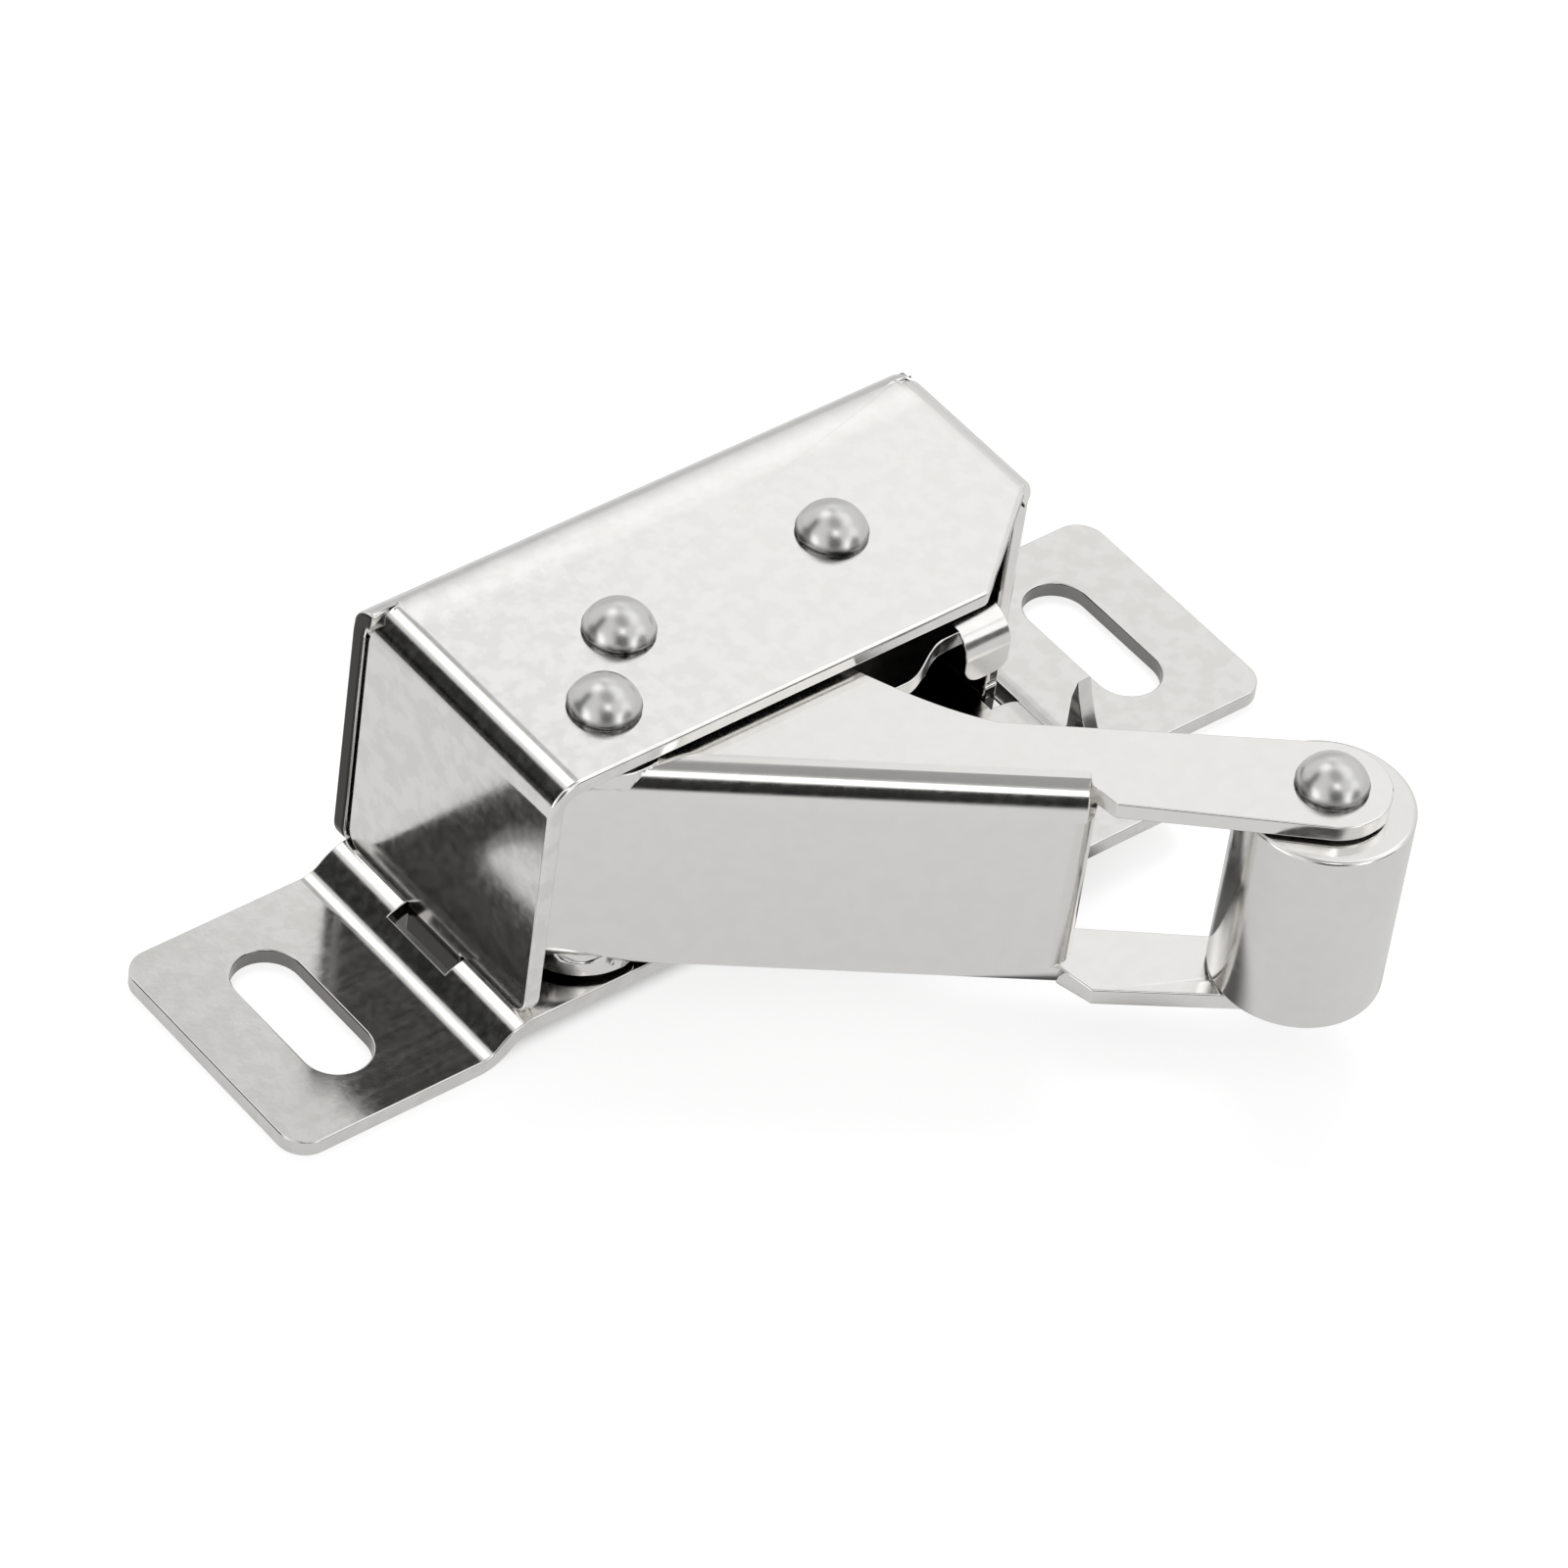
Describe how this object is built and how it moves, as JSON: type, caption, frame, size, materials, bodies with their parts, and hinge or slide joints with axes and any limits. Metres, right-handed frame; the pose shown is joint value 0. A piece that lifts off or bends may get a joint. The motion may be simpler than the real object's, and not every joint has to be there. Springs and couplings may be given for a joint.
{
  "type": "roller touch latch",
  "caption": "Steel touch latch with slotted mounting ears, folded cover, sprung roller arm and pressed catch lever.",
  "frame": {"origin": "on the mounting plane under the ears, midway between the two screw slots", "axes": "+X along the base strap from the covered end to the bevelled end, +Y from the open front to the cover's back wall, +Z away from the mounting plane"},
  "size_m": [0.08, 0.05, 0.0247],
  "materials": {
    "sheet_steel": "satin",
    "polished_steel": "polished",
    "spring_steel": "plain"
  },
  "bodies": {
    "housing": {"base_plate": "sheet_steel", "cover": "sheet_steel", "arm_rivet": "polished_steel", "arm_sleeve": "polished_steel", "arm_washer_low": "polished_steel", "arm_washer_top": "polished_steel", "stop_rivet": "polished_steel", "stop_spacer_low": "polished_steel", "stop_spacer_top": "polished_steel", "lever_rivet": "polished_steel", "lever_spacer_low": "polished_steel", "lever_spacer_top": "polished_steel", "lever_spring": "spring_steel"},
    "arm": {"swing_arm": "sheet_steel", "roller_bush": "polished_steel", "roller_rivet": "polished_steel", "latch_pin": "polished_steel", "arm_spring": "spring_steel"},
    "roller": {"roller": "polished_steel"},
    "lever": {"catch_lever": "sheet_steel"}
  },
  "joints": [
    {"name": "arm_swing", "type": "hinge", "parent": "housing", "child": "arm", "pos_m": [-0.0148, -0.0048, 0.0123], "axis": [0, 0, 1], "range_deg": [0, 33], "stiffness_Nm_per_rad": 0.02, "springref_deg": -34.38, "deforming": ["arm_spring"]},
    {"name": "roller_spin", "type": "hinge", "parent": "arm", "child": "roller", "pos_m": [0.02104, -0.03332, 0.0123], "axis": [0, 0, 1], "continuous": true},
    {"name": "catch_turn", "type": "hinge", "parent": "housing", "child": "lever", "pos_m": [0.0074, 0.0003, 0.0114], "axis": [0, 0, 1], "range_deg": [-2.5, 0], "stiffness_Nm_per_rad": 0.005, "deforming": ["lever_spring"]}
  ]
}
